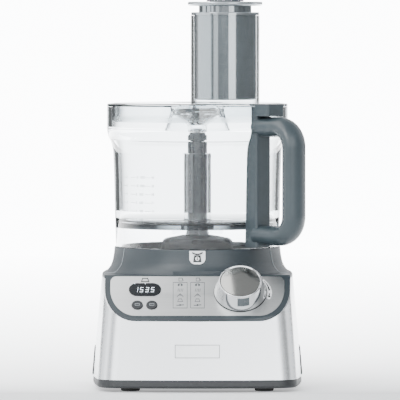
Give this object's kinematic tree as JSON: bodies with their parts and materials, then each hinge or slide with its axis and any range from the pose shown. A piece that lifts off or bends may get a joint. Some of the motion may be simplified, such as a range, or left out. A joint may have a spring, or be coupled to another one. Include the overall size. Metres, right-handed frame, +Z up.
{
  "type": "food processor",
  "caption": "Food processor: steel-wrapped base with sloping panel, dial and display, clear bowl with D handle, clear lid with oval feed tube and pusher.",
  "frame": {"origin": "on the worktop under the middle of the base's footprint; the bowl, drive shaft and lid share a vertical axis 25 mm behind it", "axes": "+Z up, +X to the user's right, -Y towards the user, out of the front with the control panel"},
  "size_m": [0.225, 0.246, 0.4097],
  "materials": {
    "steel": "horizontal brushed stainless steel",
    "grey_plastic": "fine satin texture, blue-grey",
    "dark_plastic": "fine matt texture, near black",
    "gloss_grey": "semi-gloss grey",
    "handle_grey": "satin grey",
    "clear_plastic": "clear polished plastic",
    "rubber": "black rubber",
    "fascia": "horizontal brushed, clear anodised",
    "display": "dark tinted window",
    "badge_metal": "fine brushed plate with a polished edge",
    "badge_white": "white printed badge",
    "chrome": "polished chrome plate",
    "satin_metal": "satin champagne-grey cap",
    "machined_steel": "turned steel",
    "cast_alloy": "die-cast, as cast",
    "core_iron": "laminated iron, varnished",
    "winding": "varnished copper wire",
    "circuit_board": "green resist",
    "component": "moulded components",
    "silicone": "translucent silicone"
  },
  "bodies": {
    "base": {"steel_wrap": "steel", "front_housing": "grey_plastic", "rear_housing": "grey_plastic", "base_plate": "dark_plastic", "feet": "rubber", "left_side_grip": "dark_plastic", "right_side_grip": "dark_plastic", "fascia_plate": "fascia", "display_window": "display", "display_board": "circuit_board", "badge_plate": "badge_metal", "scale_badge": "badge_white", "cord_gland": "dark_plastic", "bowl_deck": "grey_plastic", "spindle_seal": "rubber", "deck_boss": "dark_plastic", "chassis": "cast_alloy", "screws": "machined_steel", "spindle_bearings": "machined_steel", "motor_bearings": "machined_steel", "motor_stator": "core_iron", "field_coils": "winding", "motor_frame": "cast_alloy", "brush_holders": "component", "drive_belt": "rubber", "speed_switch": "component", "power_board": "circuit_board", "power_parts": "component", "load_cells": "machined_steel"},
    "dial": {"dial_skirt": "chrome", "dial_cap": "satin_metal", "dial_pointer": "gloss_grey", "dial_spindle": "machined_steel"},
    "zero_button": {"zero_button": "dark_plastic"},
    "unit_button": {"unit_button": "dark_plastic"},
    "rotor": {"rotor": "core_iron", "cooling_fan": "dark_plastic", "motor_pulley": "machined_steel"},
    "spindle": {"spindle_pulley": "dark_plastic", "drive_spindle": "machined_steel"},
    "bowl": {"bowl": "clear_plastic", "bowl_handle": "handle_grey"},
    "drive_shaft": {"drive_shaft": "gloss_grey"},
    "interlock_rod": {"interlock_rod": "handle_grey"},
    "lid_seal": {"lid_seal": "silicone"},
    "lid": {"lid": "clear_plastic", "lid_pin": "machined_steel", "lid_cam": "handle_grey"},
    "pusher": {"pusher": "gloss_grey", "pusher_plate": "gloss_grey"},
    "small_pusher": {"small_pusher": "gloss_grey"}
  },
  "joints": [
    {"name": "dial_turn", "type": "hinge", "parent": "base", "child": "dial", "pos_m": [0.045, -0.0864, 0.1028], "axis": [0, -0.7071, 0.7071], "range_deg": [-240, 40]},
    {"name": "zero_press", "type": "slide", "parent": "base", "child": "zero_button", "axis": [0, 0.7071, -0.7071], "range_m": [0, 0.0012], "stiffness_N_per_m": 400, "springref_m": -0.001},
    {"name": "unit_press", "type": "slide", "parent": "base", "child": "unit_button", "axis": [0, 0.7071, -0.7071], "range_m": [0, 0.0012], "stiffness_N_per_m": 400, "springref_m": -0.001},
    {"name": "rotor_spin", "type": "hinge", "parent": "base", "child": "rotor", "pos_m": [0, -0.046, 0.05], "axis": [0, 0, 1], "continuous": true},
    {"name": "spindle_spin", "type": "hinge", "parent": "base", "child": "spindle", "pos_m": [0, 0.025, 0.05], "axis": [0, 0, 1], "continuous": true},
    {"name": "bowl_lift", "type": "slide", "parent": "base", "child": "bowl", "axis": [0, 0, 1], "range_m": [0, 0.12]},
    {"name": "shaft_spin", "type": "hinge", "parent": "bowl", "child": "drive_shaft", "pos_m": [0, 0.025, 0.2], "axis": [0, 0, 1], "continuous": true},
    {"name": "lid_lift", "type": "slide", "parent": "bowl", "child": "lid_seal", "axis": [0, 0, 1], "range_m": [0, 0.06]},
    {"name": "lid_twist", "type": "hinge", "parent": "lid_seal", "child": "lid", "pos_m": [0, 0.025, 0.298], "axis": [0, 0, 1], "range_deg": [0, 25]},
    {"name": "rod_slide", "type": "slide", "parent": "bowl", "child": "interlock_rod", "axis": [0, 0, 1], "range_m": [0, 0.0027]},
    {"name": "pusher_slide", "type": "slide", "parent": "lid", "child": "pusher", "axis": [0, 0, 1], "range_m": [0, 0.1]},
    {"name": "small_pusher_slide", "type": "slide", "parent": "pusher", "child": "small_pusher", "axis": [0, 0, 1], "range_m": [0, 0.11]}
  ],
  "couplings": [
    {"joint": "spindle_spin", "follows": "rotor_spin", "ratio": 0.25},
    {"joint": "shaft_spin", "follows": "rotor_spin", "ratio": 0.25},
    {"joint": "rod_slide", "follows": "lid_twist", "m_per_rad": 0.006}
  ]
}
